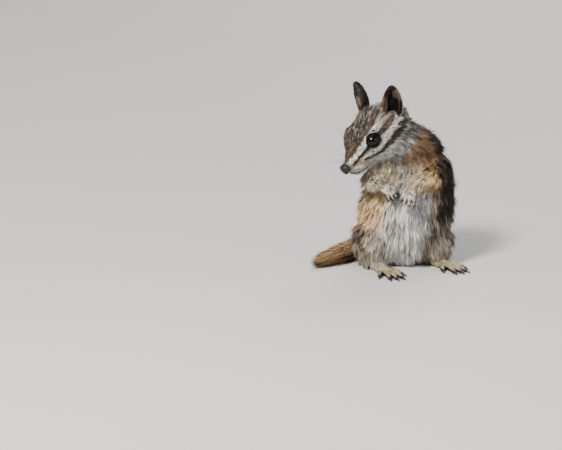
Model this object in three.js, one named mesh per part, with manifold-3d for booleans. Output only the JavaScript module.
// A least chipmunk, life size, sitting upright on its haunches: forepaws held together at its
// chest, head turned over its right shoulder, tail curled on the floor behind it.
// Millimetres, +Z up. The origin is the middle of the flat under the rump. The chest faces -Y
// and the animal's left side is towards +X.
import * as THREE from 'three';
import { mergeVertices } from 'three/addons/utils/BufferGeometryUtils.js';
import Module from 'manifold-3d';

const wasm = await Module();
wasm.setup();

const GAP = 0.3; // left between neighbouring parts
const EYE_TURN = 21; // how far forward of straight sideways each eye looks, in degrees

const at = (x, y, z) => new THREE.Vector3(x, y, z);
const radians = THREE.MathUtils.degToRad;
const mirrored = (v, side) => at(v.x, v.y * side, v.z);

// The head's own frame: x to the nose, y to its left, z up, from the middle of the skull.
const HEAD = {
  place: at(-11.4, -6.2, 51),
  yaw: -137,
  pitch: 26,
  roll: 3,
  noseTip: 19.6,
  eye: at(5.4, 5.8, 4.1),
  eyeRadius: 3.25,
  lidRadius: 2.95,
  lidThickness: 0.5,
  ears: {
    left: { root: at(-6.9, 7.4, 7), up: at(-0.15, 0.3, 0.94), opening: at(0.74, 0.66, 0) },
    right: { root: at(-6.5, -8.4, 7), up: at(-0.04, 0.13, 0.98), opening: at(0.8, -0.6, 0) },
  },
  earHeight: 14,
  earWidth: 7.8,
  earWall: 0.9,
};

const TORSO = {
  pelvis: { centre: at(0, 3, 12.5), radii: at(14.8, 15.5, 14.5) },
  belly: { centre: at(1.8, -0.5, 22), radii: at(17.8, 14.8, 15) },
  chest: { centre: at(5, 2, 34.5), radii: at(14.2, 12.4, 14) },
  spine: [at(0.5, 3, 10), at(2, 0, 22), at(4, 1.5, 36)],
};

const NECK = { root: at(5.4, 3, 43), rootRadius: 10, top: at(-4, -1.5, 51), topRadius: 9.4 };

const LIMBS = {
  left: {
    shoulder: at(11.4, -1.5, 38), shoulderRadius: 7.2,
    elbow: at(11.4, -9, 36.4), elbowRadius: 5.2,
    wrist: at(3.6, -16.2, 34), wristRadius: 2.8,
    handTurn: -112, handPitch: 22, handRoll: -12,
    hip: at(10.4, 2, 10.2), kneeTurn: 18,
    heel: at(8.5, 2.5, 0), footTurn: -56,
  },
  right: {
    shoulder: at(-6.8, -4.5, 38.5), shoulderRadius: 6.2,
    elbow: at(-12.2, -8, 35.2), elbowRadius: 4,
    wrist: at(-10, -15.4, 35), wristRadius: 2.8,
    handTurn: -32, handPitch: 14, handRoll: 20,
    hip: at(-10.4, -2.5, 10.2), kneeTurn: 10,
    heel: at(-13, -5.5, 0), footTurn: -66,
  },
};

const THIGH = { radii: at(8.2, 12.2, 11.8), knee: 6, kneeRadius: 6.2 };

const FOOT = {
  length: 17, // heel to the roots of the toes
  heelRadius: 2.3,
  ballWidth: 6.4,
  height: 2.7,
  toeLengths: [5.2, 7.4, 8, 7.8, 5.6],
  toeSpread: [-27, -11, 0, 11, 27],
  toeRadius: 0.95,
  toeArch: 1.1,
  claw: 2.2,
};

const HAND = {
  palmLength: 4.6,
  palmWidth: 4.6,
  palmDepth: 2.9,
  fingerLengths: [3.6, 4.6, 4.6, 3.8],
  fingerSpread: [-20, -6, 6, 20],
  fingerRadius: 0.72,
  fingerArch: 0.9,
  fingerDroop: 38, // how far the fingers bend down from the palm, in degrees
  claw: 1.3,
};

const TAIL = {
  line: [
    at(0, 15.5, 4.4), at(6, 22.5, 3.9), at(10, 30.4, 3.6), at(7.4, 38.4, 3.6), at(-1.2, 41, 3.6),
    at(-8.8, 36, 3.6), at(-11.8, 27, 3.6), at(-13.8, 17.8, 3.6), at(-18, 9.6, 3.5), at(-23, 2.4, 3.3),
    at(-28.2, -3.6, 2.8),
  ],
  core: { width: 5.4, height: 3.4 }, // the vertebrae and the dense underfur
  coat: { width: 13, height: 7.4 }, // out to the points of the locks
  lengths: ['base', 'middle', 'tip'],
};

const LOCKS = {
  whorls: 10,
  perWhorl: 5,
  length: 12.5,
  width: 5,
  thickness: 0.8,
  sunk: 0.9, // how deep a root sits in the core
  seed: 11,
};

// Forms are fields: a function of a point that is negative inside, zero on the surface.

function ellipsoid({ centre, radii, turn = [0, 0, 0] }) {
  const euler = new THREE.Euler(...turn.map(radians), 'ZYX');
  const inverse = new THREE.Matrix4().makeRotationFromEuler(euler).invert();
  const q = at(0, 0, 0);
  return (p) => {
    q.copy(p).sub(centre).applyMatrix4(inverse);
    const near = Math.hypot(q.x / radii.x, q.y / radii.y, q.z / radii.z);
    const slope = Math.hypot(q.x / radii.x ** 2, q.y / radii.y ** 2, q.z / radii.z ** 2);
    return slope > 0 ? (near * (near - 1)) / slope : -Math.min(radii.x, radii.y, radii.z);
  };
}

function roundCone(a, b, radiusA, radiusB) {
  const along = b.clone().sub(a);
  const q = at(0, 0, 0);
  return (p) => {
    const t = THREE.MathUtils.clamp(q.copy(p).sub(a).dot(along) / along.lengthSq(), 0, 1);
    return q.copy(a).addScaledVector(along, t).distanceTo(p) - THREE.MathUtils.lerp(radiusA, radiusB, t);
  };
}

// One form from several, with each meeting rounded over about the softness.
function blend(softness, ...forms) {
  return (p) => forms.reduce((sum, form) => {
    const next = form(p);
    const overlap = Math.max(softness - Math.abs(sum - next), 0) / softness;
    return Math.min(sum, next) - (overlap * overlap * softness) / 4;
  }, Infinity);
}

// How far a ray from inside a form travels before it leaves the form grown by some amount.
function exitDistance(form, origin, direction, grown) {
  const stride = 0.4;
  const farthest = 60;
  const p = at(0, 0, 0);
  const outside = (t) => form(p.copy(origin).addScaledVector(direction, t)) > grown;
  let near = 0;
  while (near < farthest && !outside(near + stride)) near += stride;
  let far = near + stride;
  for (let i = 0; i < 14; i++) {
    const middle = (near + far) / 2;
    if (outside(middle)) far = middle;
    else near = middle;
  }
  return near;
}

// A closed skin: rings of rays go out from a spine, and fan round to a pole at each of its ends.
function skinOf(form, spine, { rings, caps, sides, grown = 0 }) {
  const frames = spine.computeFrenetFrames(rings, false);
  const rows = [];
  for (let i = 1; i <= caps; i++) rows.push({ ring: 0, lean: -1 + i / (caps + 1) });
  for (let i = 0; i <= rings; i++) rows.push({ ring: i, lean: 0 });
  for (let i = caps; i >= 1; i--) rows.push({ ring: rings, lean: 1 - i / (caps + 1) });
  const positions = [];
  const put = (ring, direction) => {
    const origin = spine.getPointAt(ring / rings);
    const reach = exitDistance(form, origin, direction, grown);
    positions.push(...origin.addScaledVector(direction, reach).toArray());
  };
  put(0, frames.tangents[0].clone().negate());
  for (const { ring, lean } of rows) {
    const polar = (lean * Math.PI) / 2;
    for (let j = 0; j < sides; j++) {
      const turn = (j / sides) * 2 * Math.PI;
      put(ring, at(0, 0, 0)
        .addScaledVector(frames.normals[ring], Math.cos(turn) * Math.cos(polar))
        .addScaledVector(frames.binormals[ring], Math.sin(turn) * Math.cos(polar))
        .addScaledVector(frames.tangents[ring], Math.sin(polar)));
    }
  }
  put(rings, frames.tangents[rings].clone());
  const faces = [];
  const vertex = (row, j) => 1 + row * sides + (j % sides);
  const last = rows.length * sides + 1;
  for (let j = 0; j < sides; j++) {
    faces.push(0, vertex(0, j + 1), vertex(0, j));
    faces.push(last, vertex(rows.length - 1, j), vertex(rows.length - 1, j + 1));
    for (let row = 0; row < rows.length - 1; row++) {
      faces.push(vertex(row, j), vertex(row, j + 1), vertex(row + 1, j));
      faces.push(vertex(row + 1, j), vertex(row, j + 1), vertex(row + 1, j + 1));
    }
  }
  const geometry = new THREE.BufferGeometry();
  geometry.setAttribute('position', new THREE.Float32BufferAttribute(positions, 3));
  return solid(geometry.setIndex(faces));
}

// Solids: closed bodies that can be joined and cut.

function solid(geometry, matrix = new THREE.Matrix4()) {
  const bare = geometry.clone().applyMatrix4(matrix);
  bare.deleteAttribute('normal');
  bare.deleteAttribute('uv');
  const merged = mergeVertices(bare, 1e-4);
  return new wasm.Manifold(new wasm.Mesh({
    numProp: 3,
    vertProperties: new Float32Array(merged.attributes.position.array),
    triVerts: new Uint32Array(merged.index.array),
  }));
}

function largest(body) {
  return body.decompose().reduce((best, piece) => (piece.volume() > best.volume() ? piece : best));
}

function geometryOf(body) {
  const { numProp, numVert, vertProperties, triVerts } = largest(body).getMesh();
  const positions = new Float32Array(numVert * 3);
  for (let i = 0; i < numVert; i++) {
    positions.set(vertProperties.subarray(i * numProp, i * numProp + 3), i * 3);
  }
  const geometry = new THREE.BufferGeometry();
  geometry.setAttribute('position', new THREE.BufferAttribute(positions, 3));
  geometry.setIndex(new THREE.BufferAttribute(new Uint32Array(triVerts), 1));
  geometry.computeVertexNormals();
  return geometry;
}

const moved = (body, matrix) => body.transform(matrix.elements);
const cut = (body, ...cutters) => cutters.reduce((rest, cutter) => rest.subtract(cutter), body);
const joined = (...bodies) => bodies.reduce((whole, body) => whole.add(body));

const FLOOR = solid(
  new THREE.BoxGeometry(400, 400, 100),
  new THREE.Matrix4().makeTranslation(0, 0, -50),
);

// A plain material.
function paint(color, roughness = 0.9) {
  return new THREE.MeshStandardMaterial({ color, roughness, metalness: 0 });
}

// The colours of the coat.
const COATS = {
  head: paint(0x8a7460), throat: paint(0xa59684), body: paint(0xb09c84), limb: paint(0xb49a72),
  paw: paint(0xb8a582), ear: paint(0x6e5846), tail: paint(0x8a6238),
  eye: paint(0x0b0908, 0.08), nose: paint(0x2f2826, 0.45),
};

function mesh(name, body, material) {
  const made = new THREE.Mesh(geometryOf(body), material);
  made.name = name;
  return made;
}

// The head, in its own frame.

function headForm() {
  const sides = [1, -1].flatMap((side) => [
    ellipsoid({ centre: at(-3.2, 5 * side, -2.8), radii: at(9, 5.4, 6.6) }), // cheek
    ellipsoid({ centre: at(4.4, 3.9 * side, 3.6), radii: at(6.8, 3.9, 4.6) }), // brow and orbit
    ellipsoid({ centre: at(12, 2.3 * side, -3.8), radii: at(4, 2.5, 2.5) }), // whisker pad
    ellipsoid({ centre: at(-7, 6.8 * side, 3.8), radii: at(5.4, 3.8, 5.2) }), // root of the ear
  ]);
  return blend(
    3.2,
    ellipsoid({ centre: at(-5.4, 0, 1), radii: at(12.8, 9.2, 9.6) }), // cranium
    roundCone(at(1, 0, 0.6), at(15.2, 0, -2.1), 8.2, 2.8), // muzzle
    ellipsoid({ centre: at(8.8, 0, 0.8), radii: at(7.2, 4.1, 4), turn: [0, 24, 0] }), // bridge of the nose
    roundCone(at(0, 0, -5.6), at(13.2, 0, -5.9), 4.4, 1.5), // lower jaw
    ...sides,
  );
}

function eyeAxis(side) {
  return at(Math.sin(radians(EYE_TURN)), side * Math.cos(radians(EYE_TURN)), 0.16).normalize();
}

function eyeball(side, grown = 0) {
  const centre = mirrored(HEAD.eye, side);
  const place = new THREE.Matrix4().makeTranslation(...centre.toArray());
  return solid(new THREE.SphereGeometry(HEAD.eyeRadius + grown, 14, 9), place);
}

// The rim of both lids, an oval ring that is longer than it is high.
function lids(side) {
  const axis = eyeAxis(side);
  const standOut = Math.sqrt(HEAD.eyeRadius ** 2 - HEAD.lidRadius ** 2) + 0.1;
  const ring = new THREE.TorusGeometry(HEAD.lidRadius, HEAD.lidThickness, 6, 22);
  const facing = new THREE.Matrix4().lookAt(axis, at(0, 0, 0), at(0, 0, 1));
  const centre = mirrored(HEAD.eye, side).addScaledVector(axis, standOut);
  const place = new THREE.Matrix4().makeTranslation(...centre.toArray()).multiply(facing);
  return solid(ring, place.multiply(new THREE.Matrix4().makeScale(1.06, 0.92, 1)));
}

// A fine groove along a line of points, such as the mouth.
function groove(points, width) {
  const corners = 6;
  const outline = new THREE.EllipseCurve(0, 0, width / 2, width / 2).getPoints(corners);
  const section = new THREE.Shape(outline.slice(0, corners));
  const line = new THREE.CatmullRomCurve3(points);
  return solid(new THREE.ExtrudeGeometry(section, { steps: 18, extrudePath: line, bevelEnabled: false }));
}

// Lays points on the surface of a form, straight out from the head's middle line.
function onSurface(form, origin, direction, sink) {
  const ray = direction.clone().normalize();
  return origin.clone().addScaledVector(ray, exitDistance(form, origin, ray, 0) - sink);
}

function mouthLine(form, side) {
  const stations = 7;
  return Array.from({ length: stations }, (_, i) => {
    const back = i / (stations - 1);
    const origin = at(15.2 - 5.4 * back, 0, -5 + 0.5 * Math.sin(back * Math.PI));
    const forward = (1 - back) ** 2 * 2.4;
    return onSurface(form, origin, at(forward, side * (0.12 + back), -0.12 * (1 - back)), 0.1);
  });
}

function headSolid(grown = 0) {
  const spine = new THREE.CatmullRomCurve3([at(-8, 0, 0), at(-1, 0, 0), at(7, 0, -1.4), at(14.4, 0, -3.4)]);
  return skinOf(headForm(), spine, { rings: 20, caps: 4, sides: 27, grown });
}

function nosePad() {
  const form = blend(
    0.8,
    ellipsoid({ centre: at(HEAD.noseTip - 1.6, 0, -1.4), radii: at(1.9, 2.2, 1.6) }),
    ellipsoid({ centre: at(HEAD.noseTip - 1.4, 0, -2.8), radii: at(1.2, 1.2, 1.4) }),
  );
  const spine = new THREE.LineCurve3(at(HEAD.noseTip - 2, 0, -1.8), at(HEAD.noseTip - 1.2, 0, -1.8));
  const pad = skinOf(form, spine, { rings: 2, caps: 4, sides: 14 });
  const nostrils = [1, -1].map((side) => solid(
    new THREE.SphereGeometry(0.42, 8, 6),
    new THREE.Matrix4().makeTranslation(HEAD.noseTip - 0.55, 1.25 * side, -1.8)
      .multiply(new THREE.Matrix4().makeScale(1.3, 1.2, 0.8)),
  ));
  return cut(pad, ...nostrils);
}

// An ear in its own frame: z to the tip, x the way it opens, y across.
function earSolid() {
  const { earHeight: height, earWidth: width, earWall: wall } = HEAD;
  const leaf = (halfWidth, halfDepth, rise, bottom) => {
    const geometry = new THREE.SphereGeometry(1, 14, 10).rotateX(Math.PI / 2);
    const points = geometry.attributes.position;
    for (let i = 0; i < points.count; i++) {
      const up = points.getZ(i);
      const taper = 1 - 0.26 * Math.max(up, 0) ** 1.6 - 0.12 * Math.max(-up, 0);
      points.setXYZ(
        i,
        points.getX(i) * halfDepth * taper,
        points.getY(i) * halfWidth * taper,
        bottom + ((up + 1) / 2) * rise,
      );
    }
    return geometry;
  };
  const outer = solid(leaf(width / 2, 3, height + 3, -3));
  const hollow = solid(leaf(width / 2 - wall, 3.1, height - wall + 1.2, -1.2).translate(1.5, 0, 0));
  return cut(outer, hollow);
}

function earPlace({ root, up, opening }) {
  const tall = up.clone().normalize();
  const across = tall.clone().cross(opening).normalize();
  return new THREE.Matrix4().makeBasis(across.clone().cross(tall), across, tall).setPosition(root);
}

function buildHead(group) {
  const form = headForm();
  const grownHead = headSolid(GAP);
  const ears = [HEAD.ears.left, HEAD.ears.right].map((ear) => moved(earSolid(), earPlace(ear)));
  const eyes = [1, -1].map((side) => eyeball(side));
  const sockets = [1, -1].map((side) => eyeball(side, GAP));
  const mouth = [1, -1].map((side) => groove(mouthLine(form, side), 0.55));
  const flesh = cut(joined(headSolid(), lids(1), lids(-1)), ...sockets, ...mouth);
  group.add(
    mesh('head', flesh, COATS.head),
    mesh('nose', cut(nosePad(), grownHead), COATS.nose),
    mesh('eye_left', eyes[0], COATS.eye),
    mesh('eye_right', eyes[1], COATS.eye),
    mesh('ear_left', cut(ears[0], grownHead), COATS.ear),
    mesh('ear_right', cut(ears[1], grownHead), COATS.ear),
  );
  return grownHead;
}

// The trunk and neck.

function torsoSolid(grown = 0) {
  const form = blend(9, ellipsoid(TORSO.pelvis), ellipsoid(TORSO.belly), ellipsoid(TORSO.chest));
  const spine = new THREE.CatmullRomCurve3(TORSO.spine);
  return cut(skinOf(form, spine, { rings: 10, caps: 5, sides: 24, grown }), FLOOR);
}

function neckSolid() {
  const form = roundCone(NECK.root, NECK.top, NECK.rootRadius, NECK.topRadius);
  return skinOf(form, new THREE.LineCurve3(NECK.root, NECK.top), { rings: 3, caps: 3, sides: 16 });
}

// Limbs.

function thighSolid(limb, side, grown = 0) {
  const turn = new THREE.Matrix4().makeRotationZ(radians(side * limb.kneeTurn));
  const knee = at(0, -THIGH.knee, 1).applyMatrix4(turn).add(limb.hip);
  const form = blend(
    4,
    ellipsoid({ centre: limb.hip, radii: THIGH.radii, turn: [-14, 0, side * limb.kneeTurn] }),
    ellipsoid({ centre: knee, radii: at(THIGH.kneeRadius, THIGH.kneeRadius, 7.2) }),
  );
  const spine = new THREE.LineCurve3(limb.hip.clone().add(at(0, 0, -1)), limb.hip.clone().add(at(0, 0, 2)));
  return cut(skinOf(form, spine, { rings: 2, caps: 6, sides: 20, grown }), FLOOR);
}

function armSolid(a, b, radiusA, radiusB, sides, grown = 0) {
  const form = roundCone(a, b, radiusA, radiusB);
  return skinOf(form, new THREE.LineCurve3(a, b), { rings: 4, caps: 3, sides, grown });
}

// A curved claw along +X, thick at its root.
function claw(length, radius) {
  const droop = 0.32 * length;
  const geometry = new THREE.ConeGeometry(radius, length, 5, 2);
  geometry.rotateZ(-Math.PI / 2).translate(length / 2, 0, 0);
  const points = geometry.attributes.position;
  for (let i = 0; i < points.count; i++) {
    const t = points.getX(i) / length;
    points.setZ(i, points.getZ(i) - droop * t * t);
  }
  return geometry;
}

// A digit along +X from its root: two phalanges that arch and come down, and a claw.
function digit(length, radius, clawLength, arch) {
  const root = at(-1.2, 0, 0);
  const knuckle = at(length * 0.45, 0, arch);
  const tip = at(length, 0, 0);
  const form = blend(
    0.5,
    roundCone(root, knuckle, radius * 1.12, radius),
    roundCone(knuckle, tip, radius, radius * 0.92),
  );
  const spine = new THREE.CatmullRomCurve3([root, knuckle, tip]);
  const flesh = skinOf(form, spine, { rings: 3, caps: 1, sides: 6 });
  const nail = new THREE.Matrix4().makeTranslation(length + radius * 0.25, 0, radius * 0.2);
  return joined(flesh, solid(claw(clawLength, radius * 0.55), nail));
}

// A hind foot on the floor, heel at the origin and toes along +X.
function footSolid() {
  const { length, ballWidth, height } = FOOT;
  const heel = at(0, 0, FOOT.heelRadius * 0.8);
  const instep = at(length * 0.75, 0, height * 0.5);
  const form = blend(
    2,
    roundCone(heel, instep, FOOT.heelRadius, height * 0.55),
    ellipsoid({ centre: at(length * 0.82, 0, height * 0.42), radii: at(5, ballWidth / 2, height * 0.62) }),
  );
  const spine = new THREE.LineCurve3(at(0.5, 0, height * 0.45), at(length * 0.86, 0, height * 0.45));
  const sole = skinOf(form, spine, { rings: 4, caps: 2, sides: 13 });
  const toes = FOOT.toeLengths.map((toe, i) => {
    const across = (i / (FOOT.toeLengths.length - 1) - 0.5) * (ballWidth - 2 * FOOT.toeRadius);
    const back = Math.abs(FOOT.toeSpread[i]) > 20 ? 2.6 : 0.4;
    const place = new THREE.Matrix4().makeRotationZ(radians(FOOT.toeSpread[i]))
      .setPosition(length - back, across, FOOT.toeRadius * 0.8);
    return moved(digit(toe, FOOT.toeRadius, FOOT.claw, FOOT.toeArch), place);
  });
  return joined(sole, ...toes);
}

function footPlace(limb) {
  return new THREE.Matrix4().makeRotationZ(radians(limb.footTurn)).setPosition(limb.heel);
}

// A forepaw, wrist at the origin, fingers along +X and curling down to -Z.
function handSolid() {
  const palm = skinOf(
    ellipsoid({
      centre: at(HAND.palmLength * 0.45, 0, 0),
      radii: at(HAND.palmLength * 0.75, HAND.palmWidth / 2, HAND.palmDepth / 2),
    }),
    new THREE.LineCurve3(at(1.4, 0, 0), at(2.8, 0, 0)),
    { rings: 2, caps: 3, sides: 12 },
  );
  const fingers = HAND.fingerLengths.map((length, i) => {
    const across = (i / (HAND.fingerLengths.length - 1) - 0.5) * (HAND.palmWidth - 2 * HAND.fingerRadius);
    const turn = new THREE.Euler(0, radians(HAND.fingerDroop), radians(HAND.fingerSpread[i]), 'ZYX');
    const place = new THREE.Matrix4().makeRotationFromEuler(turn)
      .setPosition(HAND.palmLength * 0.8, across, -0.2);
    return moved(digit(length, HAND.fingerRadius, HAND.claw, HAND.fingerArch), place);
  });
  return joined(palm, ...fingers);
}

function handPlace({ wrist, handRoll, handPitch, handTurn }) {
  const turn = new THREE.Euler(radians(handRoll), radians(handPitch), radians(handTurn), 'ZYX');
  return new THREE.Matrix4().makeRotationFromEuler(turn).setPosition(wrist);
}

// The tail is swept along its line: t runs from 0 at the root to 1 at the end of the core.

const tailLine = new THREE.CatmullRomCurve3(TAIL.line);
const tailLength = tailLine.getLength();

// A frame on the line, which carries on straight past its end.
function tailFrame(t) {
  const on = THREE.MathUtils.clamp(t, 0, 1);
  const along = tailLine.getTangentAt(on);
  const centre = tailLine.getPointAt(on).addScaledVector(along, (t - on) * tailLength);
  return { centre, across: along.clone().cross(at(0, 0, 1)).normalize() };
}

// A point in the tail's coat: reach is its distance from the line, across and upwards.
function tailPoint(t, turn, reachAcross, reachUp) {
  const { centre, across } = tailFrame(t);
  return centre
    .addScaledVector(across, Math.cos(turn) * reachAcross)
    .add(at(0, 0, Math.sin(turn) * reachUp));
}

// How full the coat is along the tail: short at the root, and drawn to a point at the end.
function tailFullness(t) {
  const root = Math.min(1, 0.5 + 2.4 * t);
  return root * Math.sqrt(Math.max(0.02, 1 - Math.max(t, 0) ** 6));
}

// A closed sweep with rings of the half width and half height that size gives at each t.
function tailSweep(from, to, rings, sides, size) {
  const positions = [];
  for (let i = 0; i <= rings; i++) {
    const t = from + ((to - from) * i) / rings;
    const { halfWidth, halfHeight } = size(t);
    for (let j = 0; j < sides; j++) {
      positions.push(...tailPoint(t, (j / sides) * 2 * Math.PI, halfWidth, halfHeight).toArray());
    }
  }
  positions.push(...tailFrame(from).centre.toArray(), ...tailFrame(to).centre.toArray());
  const faces = [];
  const vertex = (row, j) => row * sides + (j % sides);
  const first = (rings + 1) * sides;
  for (let j = 0; j < sides; j++) {
    faces.push(first, vertex(0, j), vertex(0, j + 1));
    faces.push(first + 1, vertex(rings, j + 1), vertex(rings, j));
    for (let row = 0; row < rings; row++) {
      faces.push(vertex(row, j), vertex(row + 1, j), vertex(row, j + 1));
      faces.push(vertex(row + 1, j), vertex(row + 1, j + 1), vertex(row, j + 1));
    }
  }
  const geometry = new THREE.BufferGeometry();
  geometry.setAttribute('position', new THREE.Float32BufferAttribute(positions, 3));
  return solid(geometry.setIndex(faces));
}

function tailCore() {
  return tailSweep(0, 1, 18, 10, (t) => ({
    halfWidth: (TAIL.core.width / 2) * tailFullness(t),
    halfHeight: (TAIL.core.height / 2) * tailFullness(t),
  }));
}

// A seeded draw from 0 to 1, by the usual linear congruence on 32 bits.
function drawer(seed) {
  const range = 2 ** 32;
  let state = seed;
  return () => {
    state = (state * 1664525 + 1013904223) % range;
    return state / range;
  };
}

// A flat, tapered lock of hair: rooted in the core at t, it leans out and bends back along the tail.
function tailLock(t, turn, { length, width, rise }) {
  const stations = [
    { along: 0, out: 0, wide: 0.7, thick: 1 },
    { along: 0.36, out: 0.5, wide: 1, thick: 0.9 },
    { along: 0.72, out: 0.85, wide: 0.66, thick: 0.6 },
  ];
  const fullness = tailFullness(t);
  const reach = ({ core, coat }, out) => {
    const rooted = (core / 2) * fullness - LOCKS.sunk;
    return rooted + out * rise * (LOCKS.sunk + (coat - core) / 2);
  };
  const wide = { core: TAIL.core.width, coat: TAIL.coat.width * fullness };
  const high = { core: TAIL.core.height, coat: TAIL.coat.height * fullness };
  const place = (station, sideways, outwards) => {
    const p = tailPoint(
      t + (station.along * length) / tailLength,
      turn,
      reach(wide, station.out) + outwards,
      reach(high, station.out) + outwards,
    );
    const { across } = tailFrame(t + (station.along * length) / tailLength);
    const tangent = across.clone().multiplyScalar(-Math.sin(turn)).add(at(0, 0, Math.cos(turn)));
    return p.addScaledVector(tangent, sideways);
  };
  const corners = 4;
  const positions = stations.flatMap((station) => [
    ...place(station, (station.wide * width) / 2, 0).toArray(),
    ...place(station, 0, (station.thick * LOCKS.thickness) / 2).toArray(),
    ...place(station, (-station.wide * width) / 2, 0).toArray(),
    ...place(station, 0, (-station.thick * LOCKS.thickness) / 2).toArray(),
  ]);
  positions.push(...place({ along: 1, out: 1 }, 0, 0).toArray());
  const faces = [0, 2, 1, 0, 3, 2];
  const tip = stations.length * corners;
  for (let row = 0; row < stations.length; row++) {
    for (let j = 0; j < corners; j++) {
      const a = row * corners + j;
      const b = row * corners + ((j + 1) % corners);
      if (row === stations.length - 1) faces.push(a, b, tip);
      else faces.push(a, b, a + corners, b, b + corners, a + corners);
    }
  }
  const geometry = new THREE.BufferGeometry();
  geometry.setAttribute('position', new THREE.Float32BufferAttribute(positions, 3));
  return solid(geometry.setIndex(faces));
}

function tailLocks() {
  const draw = drawer(LOCKS.seed);
  const locks = [];
  for (let whorl = 0; whorl < LOCKS.whorls; whorl++) {
    for (let j = 0; j < LOCKS.perWhorl; j++) {
      const turn = ((j + (whorl % 2) / 2 + 0.3 * (draw() - 0.5)) / LOCKS.perWhorl) * 2 * Math.PI;
      const t = (whorl + 0.15 + 0.35 * draw()) / LOCKS.whorls;
      const size = tailFullness(t);
      locks.push(tailLock(t, turn, {
        length: LOCKS.length * (0.85 + 0.3 * draw()),
        width: LOCKS.width * size * (0.85 + 0.3 * draw()),
        rise: 0.85 + 0.3 * draw(),
      }));
    }
  }
  return locks;
}

// What lies beyond t: a funnel that flares with the lean of the locks, so that it parts none of them.
function tailBeyond(t, grown) {
  const flare = LOCKS.length / tailLength;
  const past = 1.3; // beyond the points of the last locks
  const clear = 1.5; // how much wider than the coat the funnel opens
  return tailSweep(t, past, 14, 10, (s) => {
    const open = Math.min(1.3, (s - t) / flare) * clear;
    const size = (core, coat) => core / 2 + (open * (coat - core)) / 2 + grown;
    return {
      halfWidth: size(TAIL.core.width, TAIL.coat.width),
      halfHeight: size(TAIL.core.height, TAIL.coat.height),
    };
  });
}

// The whole animal.

const chipmunk = new THREE.Group();
const head = new THREE.Group();
head.position.copy(HEAD.place);
head.rotation.set(radians(HEAD.roll), radians(HEAD.pitch), radians(HEAD.yaw), 'ZYX');
head.updateMatrix();
chipmunk.add(head);
const grownHead = moved(buildHead(head), head.matrix);

const torso = torsoSolid();
const grownTorso = torsoSolid(GAP);
const trunk = [];
const haunches = [];
for (const [name, limb] of Object.entries(LIMBS)) {
  const side = name === 'left' ? 1 : -1;
  const upper = armSolid(limb.shoulder, limb.elbow, limb.shoulderRadius, limb.elbowRadius, 13);
  const grownUpper = armSolid(limb.shoulder, limb.elbow, limb.shoulderRadius, limb.elbowRadius, 13, GAP);
  const fore = armSolid(limb.elbow, limb.wrist, limb.elbowRadius * 0.86, limb.wristRadius, 11);
  const grownFore = armSolid(limb.elbow, limb.wrist, limb.elbowRadius * 0.86, limb.wristRadius, 11, GAP);
  const hand = moved(handSolid(), handPlace(limb));
  const thigh = thighSolid(limb, side);
  const grownThigh = thighSolid(limb, side, GAP);
  const foot = moved(footSolid(), footPlace(limb));
  trunk.push(grownUpper);
  haunches.push(grownThigh);
  chipmunk.add(
    mesh(`upper_arm_${name}`, cut(upper, grownTorso, grownHead), COATS.limb),
    mesh(`forearm_${name}`, cut(fore, grownUpper, grownTorso), COATS.limb),
    mesh(`hand_${name}`, cut(hand, grownFore, grownTorso), COATS.paw),
    mesh(`thigh_${name}`, cut(thigh, grownTorso), COATS.body),
    mesh(`foot_${name}`, cut(foot, grownThigh, grownTorso, FLOOR), COATS.paw),
  );
}
chipmunk.add(
  mesh('torso', cut(torso, grownHead), COATS.body),
  mesh('neck', cut(neckSolid(), grownHead, grownTorso, ...trunk), COATS.throat),
);

let rest = cut(joined(tailCore(), ...tailLocks()), FLOOR, grownTorso, ...haunches);
TAIL.lengths.forEach((name, i) => {
  const end = (i + 1) / TAIL.lengths.length;
  const last = i === TAIL.lengths.length - 1;
  const length = last ? rest : cut(rest, tailBeyond(end, GAP));
  chipmunk.add(mesh(`tail_${name}`, length, COATS.tail));
  if (!last) rest = rest.intersect(tailBeyond(end + GAP / tailLength, 0));
});

export default chipmunk;
